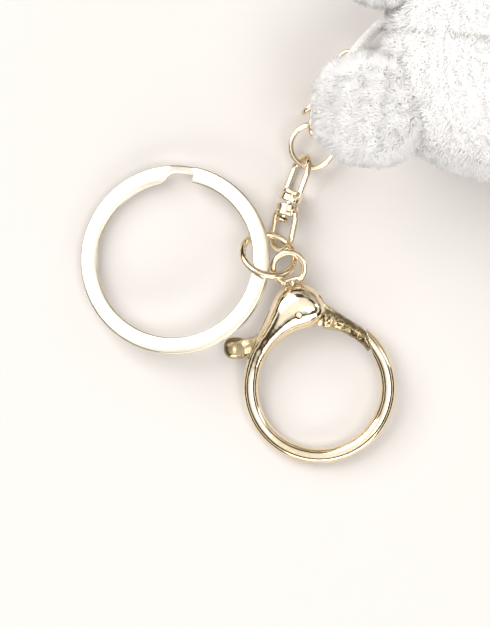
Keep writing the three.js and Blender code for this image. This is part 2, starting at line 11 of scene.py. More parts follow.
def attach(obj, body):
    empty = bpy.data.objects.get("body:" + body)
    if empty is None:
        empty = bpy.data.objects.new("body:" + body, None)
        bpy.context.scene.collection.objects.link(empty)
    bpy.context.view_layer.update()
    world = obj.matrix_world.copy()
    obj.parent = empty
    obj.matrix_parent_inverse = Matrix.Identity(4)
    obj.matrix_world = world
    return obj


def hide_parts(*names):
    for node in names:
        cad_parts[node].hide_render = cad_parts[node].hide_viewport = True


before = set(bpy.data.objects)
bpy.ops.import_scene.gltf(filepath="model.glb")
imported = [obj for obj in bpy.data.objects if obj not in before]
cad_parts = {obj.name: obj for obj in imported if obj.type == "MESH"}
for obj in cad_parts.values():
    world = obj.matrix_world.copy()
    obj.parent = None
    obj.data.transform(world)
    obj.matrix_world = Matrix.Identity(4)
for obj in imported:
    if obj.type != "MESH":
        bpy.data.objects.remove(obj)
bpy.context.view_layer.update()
MM = 0.001
TURN = 2 * math.pi
UP = Vector((0, 0, 1))
rad = math.radians
# The design's own plan puts its origin under the split ring; the model's origin is under its middle.
PLAN = Vector((-62.4299, -13.6232, 0.0528))


# ------------------------------------------------------------------ camera, light and floor
LENS = 294.0
EYE_POINT = (-0.05144, -0.0221, 0.81)
AIM = Vector((-0.04, -0.01, 0))


def camera():
    data = bpy.data.cameras.new("overhead_camera")
    data.lens = LENS
    data.sensor_width = 36
    data.clip_start = 0.05
    cam = bpy.data.objects.new("overhead_camera", data)
    cam.location = EYE_POINT
    bpy.context.scene.collection.objects.link(cam)
    bpy.context.scene.camera = cam


def softbox(name, place, size, power, tint=(1, 1, 1)):
    data = bpy.data.lights.new(name, "AREA")
    data.shape = "RECTANGLE"
    data.size, data.size_y = size
    data.energy = power
    data.color = tint
    lamp = bpy.data.objects.new(name, data)
    lamp.location = place
    aim = AIM - Vector(place)
    lamp.rotation_euler = aim.to_track_quat("-Z", "Y").to_euler()
    bpy.context.scene.collection.objects.link(lamp)
    return lamp


def studio():
    world = bpy.data.worlds.new("studio_room")
    bpy.context.scene.world = world
    world.use_nodes = True
    nt = world.node_tree
    sky = nt.nodes["Background"]
    where = nt.nodes.new("ShaderNodeTexCoord")
    split = nt.nodes.new("ShaderNodeSeparateXYZ")
    ramp = nt.nodes.new("ShaderNodeValToRGB")
    nt.links.new(where.outputs["Generated"], split.inputs[0])
    nt.links.new(split.outputs["Z"], ramp.inputs["Fac"])
    nt.links.new(ramp.outputs["Color"], sky.inputs["Color"])
    stops = [
        (0.0, (0.02, 0.016, 0.012, 1)),
        (0.34, (0.03, 0.022, 0.016, 1)),
        (0.40, (0.95, 0.93, 0.90, 1)),
        (0.50, (1.0, 0.98, 0.96, 1)),
        (0.57, (0.07, 0.055, 0.04, 1)),
        (0.75, (0.06, 0.048, 0.038, 1)),
        (0.85, (0.95, 0.94, 0.92, 1)),
        (1.0, (1.05, 1.04, 1.03, 1)),
    ]
    band = ramp.color_ramp
    while len(band.elements) < len(stops):
        band.elements.new(0.5)
    for element, (place, color) in zip(band.elements, stops):
        element.position = place
        element.color = color
    sky.inputs["Strength"].default_value = 1.15
    softbox("key_softbox", (-0.66, 0.52, 0.78), (0.9, 0.9), 10.5, (1, 0.985, 0.97))
    softbox("low_fill", (0.1, -0.9, 0.36), (1.1, 0.5), 4.6, (1, 0.985, 0.97))
    softbox("top_card", (0.3, -0.35, 1.1), (0.5, 0.5), 2.6, (1, 0.99, 0.975))
    softbox("side_strip", (0.7, 0.15, 0.35), (0.18, 0.7), 0.7, (1, 0.99, 0.98))
    bpy.context.scene.view_settings.view_transform = "Standard"
    bpy.context.scene.view_settings.look = "None"


def floor():
    bpy.ops.object.select_all(action="DESELECT")
    bpy.ops.mesh.primitive_plane_add(size=6, location=(0, 0, 0))
    table = bpy.context.object
    table.name = "pale_floor"
    paint = new_material("pale_table", (0.72, 0.69, 0.668), 0.75, specular=0.2)
    table.data.materials.append(paint)


# ------------------------------------------------------------------ materials
def new_material(name, color, roughness, metallic=0.0, specular=0.5, **sockets):
    made = bpy.data.materials.new(name)
    made.use_nodes = True
    skin = made.node_tree.nodes["Principled BSDF"]
    skin.inputs["Base Color"].default_value = (*color, 1)
    skin.inputs["Roughness"].default_value = roughness
    skin.inputs["Metallic"].default_value = metallic
    skin.inputs["Specular IOR Level"].default_value = specular
    for socket, value in sockets.items():
        skin.inputs[socket.replace("_", " ")].default_value = value
    return made


def node(tree, kind, inputs=None, **settings):
    made = tree.nodes.new(kind)
    for key, value in settings.items():
        setattr(made, key, value)
    for key, value in (inputs or {}).items():
        made.inputs[key].default_value = value
    return made


def noise_field(tree, scale, detail=3.0, rough=0.5, stretch=(1, 1, 1)):
    where = node(tree, "ShaderNodeTexCoord")
    mapping = node(tree, "ShaderNodeMapping", {"Scale": stretch})
    field = node(tree, "ShaderNodeTexNoise", {"Scale": scale, "Detail": detail, "Roughness": rough})
    tree.links.new(where.outputs["Object"], mapping.inputs["Vector"])
    tree.links.new(mapping.outputs["Vector"], field.inputs["Vector"])
    return field


def mottle(made, scale, dark, light, detail=3.0):
    """The base colour drifts between two tones."""
    tree = made.node_tree
    field = noise_field(tree, scale, detail)
    ramp = node(tree, "ShaderNodeValToRGB")
    ramp.color_ramp.elements[0].position = 0.35
    ramp.color_ramp.elements[0].color = (*dark, 1)
    ramp.color_ramp.elements[1].position = 0.65
    ramp.color_ramp.elements[1].color = (*light, 1)
    tree.links.new(field.outputs["Fac"], ramp.inputs["Fac"])
    tree.links.new(ramp.outputs["Color"], tree.nodes["Principled BSDF"].inputs["Base Color"])


def vary_roughness(made, scale, low, high, stretch=(1, 1, 1)):
    tree = made.node_tree
    field = noise_field(tree, scale, 4.0, 0.6, stretch)
    span = node(tree, "ShaderNodeMapRange", {"To Min": low, "To Max": high})
    tree.links.new(field.outputs["Fac"], span.inputs["Value"])
    tree.links.new(span.outputs["Result"], tree.nodes["Principled BSDF"].inputs["Roughness"])


def relief(made, layers):
    """Bumps stacked on one another: (scale, distance in millimetres, strength, stretch or None for cells)."""
    tree = made.node_tree
    normal = None
    for scale, distance, strength, stretch in layers:
        if stretch is None:
            where = node(tree, "ShaderNodeTexCoord")
            field = node(tree, "ShaderNodeTexVoronoi", {"Scale": scale})
            tree.links.new(where.outputs["Object"], field.inputs["Vector"])
            height = field.outputs["Distance"]
        else:
            height = noise_field(tree, scale, 3.0, 0.55, stretch).outputs["Fac"]
        bump = node(tree, "ShaderNodeBump", {"Strength": strength, "Distance": distance * MM})
        tree.links.new(height, bump.inputs["Height"])
        if normal is not None:
            tree.links.new(normal, bump.inputs["Normal"])
        normal = bump.outputs["Normal"]
    tree.links.new(normal, tree.nodes["Principled BSDF"].inputs["Normal"])


def gold(name, roughness, layers, dark=(0.80, 0.66, 0.45), light=(0.93, 0.83, 0.64)):
    made = new_material(name, light, roughness, 1.0)
    mottle(made, 160, dark, light)
    vary_roughness(made, 900, roughness * 0.7, roughness * 1.5)
    relief(made, layers)
    return made


def make_materials():
    m = {}
    m["ring_gold"] = gold(
        "pressed_ring_gold", 0.2, [(700, 0.02, 0.25, (1, 1, 1)), (5000, 0.006, 0.2, (1, 1, 1))],
        (0.74, 0.67, 0.54), (0.84, 0.78, 0.66))
    m["wire_gold"] = gold(
        "drawn_wire_gold", 0.13, [(450, 0.03, 0.25, (1, 1, 1)), (6000, 0.004, 0.25, (1, 1, 1))])
    m["cast_gold"] = gold(
        "cast_clasp_gold", 0.1,
        [(210, 0.22, 0.3, (1, 1, 1)), (900, 0.03, 0.3, (1, 1, 1)), (7000, 0.004, 0.3, (1, 1, 1))],
        (0.74, 0.60, 0.40), (0.92, 0.82, 0.62))
    m["gate_gold"] = gold(
        "tumbled_gate_gold", 0.16,
        [(620, 0.22, 0.75, None), (1500, 0.06, 0.6, (1, 1, 1)), (7000, 0.005, 0.3, (1, 1, 1))],
        (0.26, 0.20, 0.11), (0.68, 0.56, 0.36))
    steel = new_material("spring_wire_steel", (0.55, 0.54, 0.52), 0.28, 1.0)
    mottle(steel, 1200, (0.46, 0.45, 0.43), (0.62, 0.61, 0.59))
    relief(steel, [(5000, 0.006, 0.4, (1, 1, 4))])
    m["steel"] = steel
    fur = new_material(
        "white_plush_pile", (0.97, 0.96, 0.953), 1.0, specular=0.05,
        Sheen_Weight=0.4, Sheen_Roughness=0.5)
    mottle(fur, 260, (0.955, 0.94, 0.93), (0.985, 0.978, 0.972), 5.0)
    relief(fur, [(900, 0.3, 0.4, (1, 1, 1)), (4200, 0.08, 0.5, (1, 1, 1))])
    m["fur"] = fur
    strands = new_material(
        "pile_fibre", (0.975, 0.965, 0.958), 0.9, specular=0.1, Sheen_Weight=0.5, Sheen_Roughness=0.4)
    mottle(strands, 420, (0.96, 0.946, 0.937), (0.988, 0.98, 0.974), 4.0)
    relief(strands, [(9000, 0.01, 0.4, (1, 1, 1))])
    m["strands"] = strands
    cotton = new_material("braided_cord_white", (0.9, 0.89, 0.87), 0.85, specular=0.2, Sheen_Weight=0.3)
    mottle(cotton, 1500, (0.80, 0.79, 0.77), (0.94, 0.93, 0.915), 4.0)
    relief(cotton, [(5200, 0.03, 0.7, (1, 1, 1))])
    m["cord"] = cotton
    wadding = new_material("loose_fibre_fill", (0.93, 0.93, 0.93), 1.0, Sheen_Weight=0.3)
    mottle(wadding, 300, (0.85, 0.85, 0.85), (0.96, 0.96, 0.96), 6.0)
    relief(wadding, [(1200, 0.5, 0.8, (1, 1, 1))])
    m["wadding"] = wadding
    black = new_material("black_button_gloss", (0.016, 0.012, 0.010), 0.07, Coat_Weight=0.6)
    mottle(black, 500, (0.012, 0.009, 0.008), (0.022, 0.016, 0.013))
    relief(black, [(1400, 0.01, 0.15, (1, 1, 1))])
    m["black"] = black
    thread = new_material("mouth_thread", (0.035, 0.028, 0.025), 0.6, Sheen_Weight=0.2)
    mottle(thread, 2500, (0.025, 0.02, 0.018), (0.07, 0.055, 0.05))
    relief(thread, [(6000, 0.03, 0.6, (1, 1, 3))])
    m["thread"] = thread
    plastic = new_material("washer_moulded_white", (0.8, 0.79, 0.76), 0.45)
    mottle(plastic, 700, (0.74, 0.73, 0.70), (0.82, 0.81, 0.78))
    relief(plastic, [(3000, 0.01, 0.4, (1, 1, 1))])
    m["plastic"] = plastic
    return m


# ------------------------------------------------------------------ placing, as the design does
def plan(x, y, z=0.0):
    """A point of the plan in millimetres, as a place in the model in metres."""
    return (Vector((x, y, z)) + PLAN) * MM


def frame_along(origin, along, twist=0.0):
    """Y along a direction, X level and then turned about Y."""
    y = Vector(along).normalized()
    x = Matrix.Rotation(twist, 3, y) @ y.cross(UP).normalized()
    z = x.cross(y)
    basis = Matrix((x, y, z)).transposed().to_4x4()
    return Matrix.Translation(origin) @ basis


def frame_leaning(origin, normal):
    lean = UP.rotation_difference(Vector(normal).normalized())
    return Matrix.Translation(origin) @ lean.to_matrix().to_4x4()


# ------------------------------------------------------------------ mesh tools
def pick_none():
    bpy.ops.object.select_all(action="DESELECT")


def focus(obj):
    pick_none()
    obj.select_set(True)
    bpy.context.view_layer.objects.active = obj


def apply_modifier(obj, kind, **settings):
    focus(obj)
    tool = obj.modifiers.new(kind.lower(), kind)
    for key, value in settings.items():
        setattr(tool, key, value)
    bpy.ops.object.modifier_apply(modifier=tool.name)


def set_place(obj, matrix=None, scale=MM):
    """A piece drawn in millimetres in its own frame gets its place in the model in its vertices."""
    obj.data.transform((matrix or Matrix.Identity(4)) @ Matrix.Diagonal((scale, scale, scale, 1)))
    obj.matrix_world = Matrix.Identity(4)
    obj.data.update()


def outward(obj):
    made = bmesh.new()
    made.from_mesh(obj.data)
    bmesh.ops.recalc_face_normals(made, faces=made.faces)
    made.to_mesh(obj.data)
    made.free()


def smooth(obj, angle=None):
    focus(obj)
    if angle is None:
        bpy.ops.object.shade_smooth()
    else:
        bpy.ops.object.shade_smooth_by_angle(angle=rad(angle))


def mesh_from_rings(name, rings):
    """A capped tube through rings of points with the same count."""
    count, size = len(rings), len(rings[0])
    points = [tuple(p) for ring in rings for p in ring]
    faces = []
    for i in range(count - 1):
        a, b = i * size, (i + 1) * size
        for j in range(size):
            k = (j + 1) % size
            faces.append((a + j, a + k, b + k, b + j))
    faces.append(tuple(reversed(range(size))))
    faces.append(tuple(range((count - 1) * size, count * size)))
    mesh = bpy.data.meshes.new(name)
    mesh.from_pydata(points, [], faces)
    obj = bpy.data.objects.new(name, mesh)
    bpy.context.scene.collection.objects.link(obj)
    outward(obj)
    return obj


def round_outline(across, up, half_a, half_u, sides=20, power=2.0):
    """A closed outline as offsets: an ellipse at power 2, squarer as it grows."""
    out = []
    for i in range(sides):
        c, s = math.cos(TURN * (i + 0.5) / sides), math.sin(TURN * (i + 0.5) / sides)
        x = math.copysign(abs(c) ** (2 / power), c) * half_a
        y = math.copysign(abs(s) ** (2 / power), s) * half_u
        out.append(across * x + up * y)
    return out


def wire_through(name, points, radius, sides):
    """Round wire through points, with softly rounded ends."""
    pts = [Vector(p) for p in points]
    n = len(pts)
    side = None
    rings = []
    for i, p in enumerate(pts):
        before = pts[max(i - 1, 0)]
        after = pts[min(i + 1, n - 1)]
        way = (after - before).normalized()
        if side is None:
            side = way.cross(UP) if abs(way.z) < 0.9 else way.cross(Vector((1, 0, 0)))
        side = (side - way * side.dot(way)).normalized()
        up = side.cross(way).normalized()
        rings.append((p, way, side, up))
    made = []
    for p, way, side, up in rings:
        made.append([p + o for o in round_outline(side, up, radius, radius, sides)])
    for end, sign in ((0, -1), (-1, 1)):
        p, way, side, up = rings[end]
        cap = []
        for share in (0.3, 0.6, 0.85):
            small = radius * math.cos(share * math.pi / 2) ** 0.7
            middle = p + way * sign * radius * 0.35 * math.sin(share * math.pi / 2)
            cap.append([middle + o for o in round_outline(side, up, small, small, sides)])
        made = cap[::-1] + made if end == 0 else made + cap
    return mesh_from_rings(name, made)


def arc(centre, radius, start, end, steps):
    return [
        Vector(centre) + Vector((math.cos(a), math.sin(a), 0)) * radius
        for a in (start + (end - start) * i / steps for i in range(steps + 1))
    ]


def torus(name, mid, wire, steps=96, sides=20):
    pick_none()
    bpy.ops.mesh.primitive_torus_add(
        major_radius=mid, minor_radius=wire / 2, major_segments=steps, minor_segments=sides)
    obj = bpy.context.object
    obj.name = name
    return obj


def cylinder(name, low, high, radius, sides=40, bevel=0.0):
    """A round bar from one point to another, its rims rolled over by a bevel."""
    low, high = Vector(low), Vector(high)
    pick_none()
    bpy.ops.mesh.primitive_cylinder_add(vertices=sides, radius=radius, depth=(high - low).length)
    obj = bpy.context.object
    obj.name = name
    turn = UP.rotation_difference((high - low).normalized()).to_matrix().to_4x4()
    obj.data.transform(Matrix.Translation((low + high) / 2) @ turn)
    if bevel:
        apply_modifier(obj, "BEVEL", width=bevel, segments=3, limit_method="ANGLE", angle_limit=rad(50))
    return obj


def ball(name, middle, half, around=40, down=24, power=2.0):
    pick_none()
    bpy.ops.mesh.primitive_uv_sphere_add(segments=around, ring_count=down, radius=1)
    obj = bpy.context.object
    obj.name = name
    for v in obj.data.vertices:
        d = v.co
        total = sum(abs(d[k] / half[k]) ** power for k in range(3))
        v.co = Vector(middle) + d * total ** (-1 / power)
    return obj


def slab(name, outline, thick):
    """A flat plate with the given outline, centred on z = 0."""
    low = [Vector((p[0], p[1], -thick / 2)) for p in outline]
    high = [Vector((p[0], p[1], thick / 2)) for p in outline]
    return mesh_from_rings(name, [low, high])


def join(objs, name):
    focus(objs[0])
    for o in objs:
        o.select_set(True)
    bpy.ops.object.join()
    made = bpy.context.object
    made.name = name
    return made


def fuse(objs, name, voxel, smoothing=4):
    """Overlapping shells melt into one casting with softened inside corners."""
    made = join(objs, name)
    apply_modifier(made, "REMESH", mode="VOXEL", voxel_size=voxel, adaptivity=0)
    apply_modifier(made, "SMOOTH", factor=0.5, iterations=smoothing)
    return made


def carve(obj, *tools):
    for tool in tools:
        outward(tool)
        apply_modifier(obj, "BOOLEAN", operation="DIFFERENCE", solver="EXACT", object=tool)
        bpy.data.objects.remove(tool)
    return obj


def dress(obj, name, material, body, nodes, shade=None):
    """Names a finished piece, gives it its material and puts it on its body in place of its CAD nodes."""
    obj.name = name
    obj.data.name = name
    obj.data.materials.clear()
    obj.data.materials.append(material)
    smooth(obj, shade)
    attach(obj, body)
    if nodes:
        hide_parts(*nodes)
    return obj


# ------------------------------------------------------------------ rings
FLOOR_GAP = 0.02  # under the lowest wires


def double_coil(name, mid, half_band, half_coil, rise, neck, cut, joggle, stop, steps, outline_power, sides):
    top = TURN - joggle - stop
    total = 2 * top + joggle
    count = steps * 2

    def smoothstep(t):
        t = min(max(t, 0), 1)
        return t * t * (3 - 2 * t)

    rings = []
    for i in range(count + 1):
        sweep = total * i / count
        down = smoothstep((sweep - top - 0.2 * joggle) / (0.8 * joggle))
        pressed = smoothstep((sweep - top) / (0.45 * joggle))
        slim = pressed - smoothstep((sweep - top - joggle - stop) / (joggle - stop))
        angle = cut - sweep
        half = half_band * (1 - neck * slim)
        out = Vector((math.cos(angle), math.sin(angle), 0))
        centre = out * (mid + half_band - half) + UP * rise * (1 - 2 * down)
        rings.append([centre + o for o in round_outline(out, UP, half, half_coil, sides, outline_power)])
    return mesh_from_rings(name, rings)


def split_ring(m):
    across, band, coil, slit = 30, 2.6, 0.8, 0.1
    tilt = rad(10.65)
    ring = double_coil(
        "split", across / 2 - band / 2, band / 2, coil / 2, (coil + slit) / 2, 0.5,
        rad(77.5), rad(22), rad(0.8), 200, 4.0, 40)
    normal = Vector((-0.766 * math.sin(tilt), 0.643 * math.sin(tilt), math.cos(tilt)))
    high = across / 2 * math.sin(tilt) + (coil + slit / 2) * math.cos(tilt) + FLOOR_GAP
    place = frame_leaning(plan(0, 0, high), normal)
    set_place(ring, place)
    dress(ring, "split_ring_coils", m["ring_gold"], "split_ring", ["split_ring"], 40)


def jump_ring(m):
    mid, wire = 4.23, 1.15
    tilt, low_side = rad(41.7), rad(72.4)
    slit = 0.25 / mid
    path = arc((0, 0, 0), mid, slit / 2 + rad(150), TURN - slit / 2 + rad(150), 120)
    ring = wire_through("jump", path, wire / 2, sides=24)
    low = Vector((math.cos(tilt) * math.cos(low_side), math.cos(tilt) * math.sin(low_side), -math.sin(tilt)))
    set_place(ring, frame_along(plan(14.7, 0.7, 4.81), low))
    dress(ring, "jump_ring_wire", m["wire_gold"], "jump_ring", ["main_jump_ring"], 50)


def small_ring(m):
    ring = double_coil(
        "small", 3.4, 0.45, 0.45, 0.49, 0.0, rad(-14), rad(40), rad(4), 110, 2.0, 20)
    tilt = rad(2)
    set_place(ring, frame_leaning(plan(21.6, 17.9, 3.16), (0, -math.sin(tilt), math.cos(tilt))))
    dress(ring, "small_ring_coils", m["wire_gold"], "small_ring", ["small_split_ring"], 50)


CHAIN = {
    "chain_link_1": ((21.95, 19.5, 3.3), (22.7, 27.0, 3.15), 3.6, 62.5),
    "chain_link_2": ((20.15, 23.1, 4.35), (24.05, 26.7, 4.5), 2.8, 90),
    "chain_link_3": ((23.15, 25.95, 4.5), (26.8, 29.6, 3.4), 2.8, 30),
    "cord_link": ((25.9, 28.4, 3.6), (27.75, 32.6, 3.95), 3.0, -20),
}


def chain_links(m):
    """Each link is a wire ring pulled out to an oval."""
    for name, (start, end, width, twist) in CHAIN.items():
        along = Vector(end) - Vector(start)
        link = torus(name + "_wire", width / 2, 0.8, 64, 18)
        pull = along.length - width
        for v in link.data.vertices:
            v.co.y += width / 2 + (pull if v.co.y > 1e-6 else 0)
        place = frame_along(plan(*start), along, rad(twist))
        set_place(link, place)
        dress(link, name + "_wire", m["wire_gold"], name, [name])


# ------------------------------------------------------------------ swivel
SWIVEL_GAP, LOWER_END, UPPER_END = (17.9, 9.0, 2.6), (16.3, 1.0, 2.6), (20.75, 16.7, 3.08)
UPPER_TWIST, LOWER_TWIST = rad(-64.5), rad(52)
RIVET, PIN_BORE, LOOSE_BORE = 0.5, 0.62, 1.05
BEAD, BEAD_FIT = (0.95, 0.42, 0.95), 0.33
SPACING, SWIVEL_WIRE, DRUM, DRUM_HIGH, DRUM_GAP = 5.0, 1.05, 1.85, 1.9, 0.45


def bail(name, length, hole):
    """A wire hoop whose feet are soldered to the shoulders of a turned drum."""
    half, wire = SPACING / 2, SWIVEL_WIRE
    start = DRUM_GAP / 2
    top = start + DRUM_HIGH
    turn = length - wire / 2 - half
    shoulder = [
        Vector((DRUM - wire * 0.6, top - 0.75 * wire, 0)),
        Vector((half - 0.55 * wire, top - 0.7 * wire, 0)),
        Vector((half - 0.16 * wire, top - 0.45 * wire, 0)),
        Vector((half, top + 0.1 * wire, 0)),
        Vector((half, top + 0.9 * wire, 0)),
    ]
    left = [Vector((-p.x, p.y, 0)) for p in reversed(shoulder)]
    hoop = wire_through("hoop", shoulder + arc((0, turn, 0), half, 0, math.pi, 40) + left, wire / 2, sides=22)
    drum = cylinder("drum", (0, start, 0), (0, top, 0), DRUM, 56, 0.16)
    collar = cylinder("collar", (0, top - 0.7, 0), (0, top - 0.05, 0), DRUM + 0.14, 56, 0.14)
    made = fuse([hoop, drum, collar], name, 0.07, 3)
    carve(made, cylinder("bore", (0, start - 1, 0), (0, top + 1, 0), hole, 32))
    return made


def swivel(m):
    gap, lower_end, upper_end = Vector(SWIVEL_GAP), Vector(LOWER_END), Vector(UPPER_END)
    up, down = upper_end - gap, lower_end - gap
    upper_place = frame_along(plan(*gap), up, UPPER_TWIST)
    upper = bail("upper", up.length, PIN_BORE)
    set_place(upper, upper_place)
    dress(upper, "swivel_upper_bail", m["wire_gold"], "upper_link", ["swivel_upper_link"], 40)
    lower = bail("lower", down.length, LOOSE_BORE)
    set_place(lower, frame_along(plan(*gap), down, LOWER_TWIST))
    dress(lower, "swivel_lower_bail", m["wire_gold"], "lower_link", ["swivel_lower_link"], 40)
    top = DRUM_GAP / 2 + DRUM_HIGH
    low = -top - BEAD_FIT - BEAD[1]
    bead = ball("bead", (0, low, 0), BEAD, 36, 20, 2.4)
    shaft = cylinder("shaft", (0, low, 0), (0, top - 0.12, 0), RIVET, 32, 0.08)
    rivet = fuse([bead, shaft], "rivet", 0.06, 2)
    set_place(rivet, upper_place)
    dress(rivet, "swivel_rivet", m["wire_gold"], "upper_link", ["swivel_pin"], 40)


# ------------------------------------------------------------------ clasp
INNER, WIRE = 9.6, 2.55
HEAD_OUT = 17.05
PIVOT = Vector((-3.2, 11.95, 0))
STEM_WAY = Vector((math.cos(rad(102.4)), math.sin(rad(102.4)), 0))
SLOT, SLOT_ROUND, EYE_REACH = 2.2, 3.3, 7.25
LEVER_THICK, LEVER_NECK, NECK_PLAY, LEVER_TRAVEL = 1.8, 1.15, 0.3, rad(25)
POCKET_DEEP, POCKET_ROUND = 1.1, 1.85
SPRING_MID, SPRING_HALF, SPRING_FIT = 1.35, 0.15, 0.12
RAISED, LEANING = 0.125, 0.06  # how the clasp slopes up to its head and to its gate
CLASP_AT = (22.7, -20.2)
# Head and arm by angle round the ring: inner and outer radius, half thickness.
ARM = [
    (85, 11.6, 12.9, 1.3), (88, 10.9, 14.2, 2.3), (92, 10.3, 15.6, 2.9), (97, 9.8, 16.6, 3.2),
    (103, 9.6, 17.05, 3.3), (109, 9.6, 17.0, 3.25), (115, 9.6, 16.2, 3.15), (121, 9.6, 15.0, 3.0),
    (128, 9.6, 13.95, 2.7), (136, 9.6, 13.2, 2.3), (146, 9.6, 12.7, 1.85), (168, 9.6, 12.15, 1.275),
]
# The gate, from its root beside the head to its tip.
GATE = [
    (38, 9.6, 11.75, 1.15), (62, 9.6, 11.8, 1.2), (72, 9.5, 12.1, 1.3),
    (79, 9.45, 12.6, 1.5), (86, 9.4, 13.1, 1.75),
]


def clasp_place():
    headward = PIVOT.normalized()
    gateward = headward.cross(UP)
    normal = UP - headward * RAISED - gateward * LEANING
    high = FLOOR_GAP + WIRE / 2 + (INNER + WIRE / 2) * math.hypot(RAISED, LEANING)
    return frame_leaning(plan(*CLASP_AT, high), normal)


def section_at(table, angle):
    """Inner and outer radius and half thickness at an angle, smooth from station to station."""
    if angle >= table[-1][0]:
        return table[-1][1:]
    k = max(i for i, row in enumerate(table) if row[0] <= angle)
    rows = [table[min(max(k + i, 0), len(table) - 1)] for i in (-1, 0, 1, 2)]
    t = (angle - rows[1][0]) / (rows[2][0] - rows[1][0])
    found = []
    for a, b, c, d in zip(*(row[1:] for row in rows)):
        square = 2 * a - 5 * b + 4 * c - d
        cube = 3 * b - a - 3 * c + d
        found.append(0.5 * (2 * b + (c - a) * t + square * t * t + cube * t ** 3))
    return found


def ring_outline(degrees, inner, outer, half, sides=32):
    angle = rad(degrees)
    out = Vector((math.cos(angle), math.sin(angle), 0))
    mid = (inner + outer) / 2
    return [out * mid + o for o in round_outline(out, UP, outer - mid, half, sides)]


def seam_tool(side):
    """A block on one side of the slanted seam between gate and ring."""
    pick_none()
    bpy.ops.mesh.primitive_cube_add(size=1)
    block = bpy.context.object
    turn = Matrix.Rotation(rad(15), 4, "Z")
    push = Matrix.Translation((side * (4.0 - 0.075), 0, 0))
    size = Matrix.Diagonal((8, 9, 9, 1))
    block.data.transform(Matrix.Translation((7.65, 7.8, 0)) @ turn @ push @ size)
    return block


def lever_neck(half, thick):
    bend, tip = Vector((-6.6, -4.95)), Vector((-9.9, -5.65))
    strips = []
    for a, b in ((Vector((0, 0)), bend), (bend, tip)):
        way = (b - a).normalized()
        side = Vector((way.y, -way.x)) * half
        strips.append(slab("strip", [a - side, a + side, b + side, b - side], thick))
    elbow = cylinder("elbow", (bend.x, bend.y, -thick / 2), (bend.x, bend.y, thick / 2), half, 32)
    return strips + [elbow]


def move(objs, by, turn=0.0):
    for o in objs:
        o.data.transform(Matrix.Translation(by) @ Matrix.Rotation(turn, 4, "Z"))
    return objs


def clasp_body(m):
    turns = [85 + 83 * i / 70 for i in range(70)] + [168 + 244 * i / 110 for i in range(111)]
    ring = mesh_from_rings("ring", [ring_outline(a, *section_at(ARM, a)) for a in turns])
    gate_side = seam_tool(-1)
    beyond = slab("beyond", [Vector(p) for p in ((1.5, 20), (1.5, 0), (20, 0), (20, 20))], 9)
    apply_modifier(gate_side, "BOOLEAN", operation="INTERSECT", solver="EXACT", object=beyond)
    bpy.data.objects.remove(beyond)
    carve(ring, gate_side)
    body = fuse([ring], "clasp_casting", 0.14, 6)
    hub = cylinder("hub", (0, 0, -SLOT / 2), (0, 0, SLOT / 2), SLOT_ROUND, 56)
    swept = [p.to_2d() for p in arc((0, 0, 0), 7, rad(-88), rad(42), 12)]
    mouth = slab("mouth", [Vector((0, 0))] + swept, SLOT)
    tools = [hub, mouth]
    for share in (0, 0.5, 1):
        tools += move(lever_neck(LEVER_NECK + NECK_PLAY, SLOT), (0, 0, 0), -LEVER_TRAVEL * share)
    slot = join(tools, "slot")
    move([slot], PIVOT)
    apply_modifier(slot, "REMESH", mode="VOXEL", voxel_size=0.12, adaptivity=0)
    bore = cylinder("bore", PIVOT - UP * 6, PIVOT + UP * 6, PIN_BORE, 28)
    stem = cylinder("stem", PIVOT + STEM_WAY * (SLOT_ROUND - 1), PIVOT + STEM_WAY * EYE_REACH, 0.72, 28)
    carve(body, slot, bore, stem)
    set_place(body, clasp_place())
    dress(body, "clasp_casting", m["cast_gold"], "clasp", ["clasp_body"], 35)


def clasp_lever(m):
    thick = LEVER_THICK
    parts = lever_neck(LEVER_NECK, thick)
    parts.append(cylinder("hub", (0, 0, -thick / 2), (0, 0, thick / 2), 2.4, 48))
    parts.append(ball("thumb", (-9.9, -5.65, 0), (1.95, 1.75, 0.9), 40, 24, 2.6))
    tongue = [Vector(p) for p in ((0, 2.1), (0, -2.2), (5.6, -1.9), (5.6, 0.35), (3.4, 1.9))]
    parts.append(slab("tongue", tongue, thick))
    move(parts, PIVOT)
    turns = [38 + 48 * i / 60 for i in range(61)]
    gate = mesh_from_rings("gate", [ring_outline(a, *section_at(GATE, a)) for a in turns])
    carve(gate, seam_tool(1))
    lever = fuse(parts + [gate], "lever", 0.11, 4)
    carve(
        lever,
        cylinder("bore", PIVOT - UP * 2, PIVOT + UP * 2, PIN_BORE, 28),
        cylinder("pocket", PIVOT + UP * (thick / 2 - POCKET_DEEP), PIVOT + UP * thick, POCKET_ROUND, 40))
    hammer(lever)
    set_place(lever, clasp_place())
    dress(lever, "clasp_lever_gate", m["gate_gold"], "lever", ["clasp_lever"], 35)


def hammer(lever):
    """Small dents over the gate, left by tumbling before plating."""
    lever.data.update()
    moves = []
    for v in lever.data.vertices:
        gatewise = min(max((v.co.x + 0.5) / 3, 0), 1)
        dent = noise.noise(v.co * 1.1) * 0.6 + noise.noise(v.co * 2.6 + Vector((7, 3, 1))) * 0.4
        moves.append(v.normal * dent * 0.16 * gatewise)
    for v, by in zip(lever.data.vertices, moves):
        v.co += by


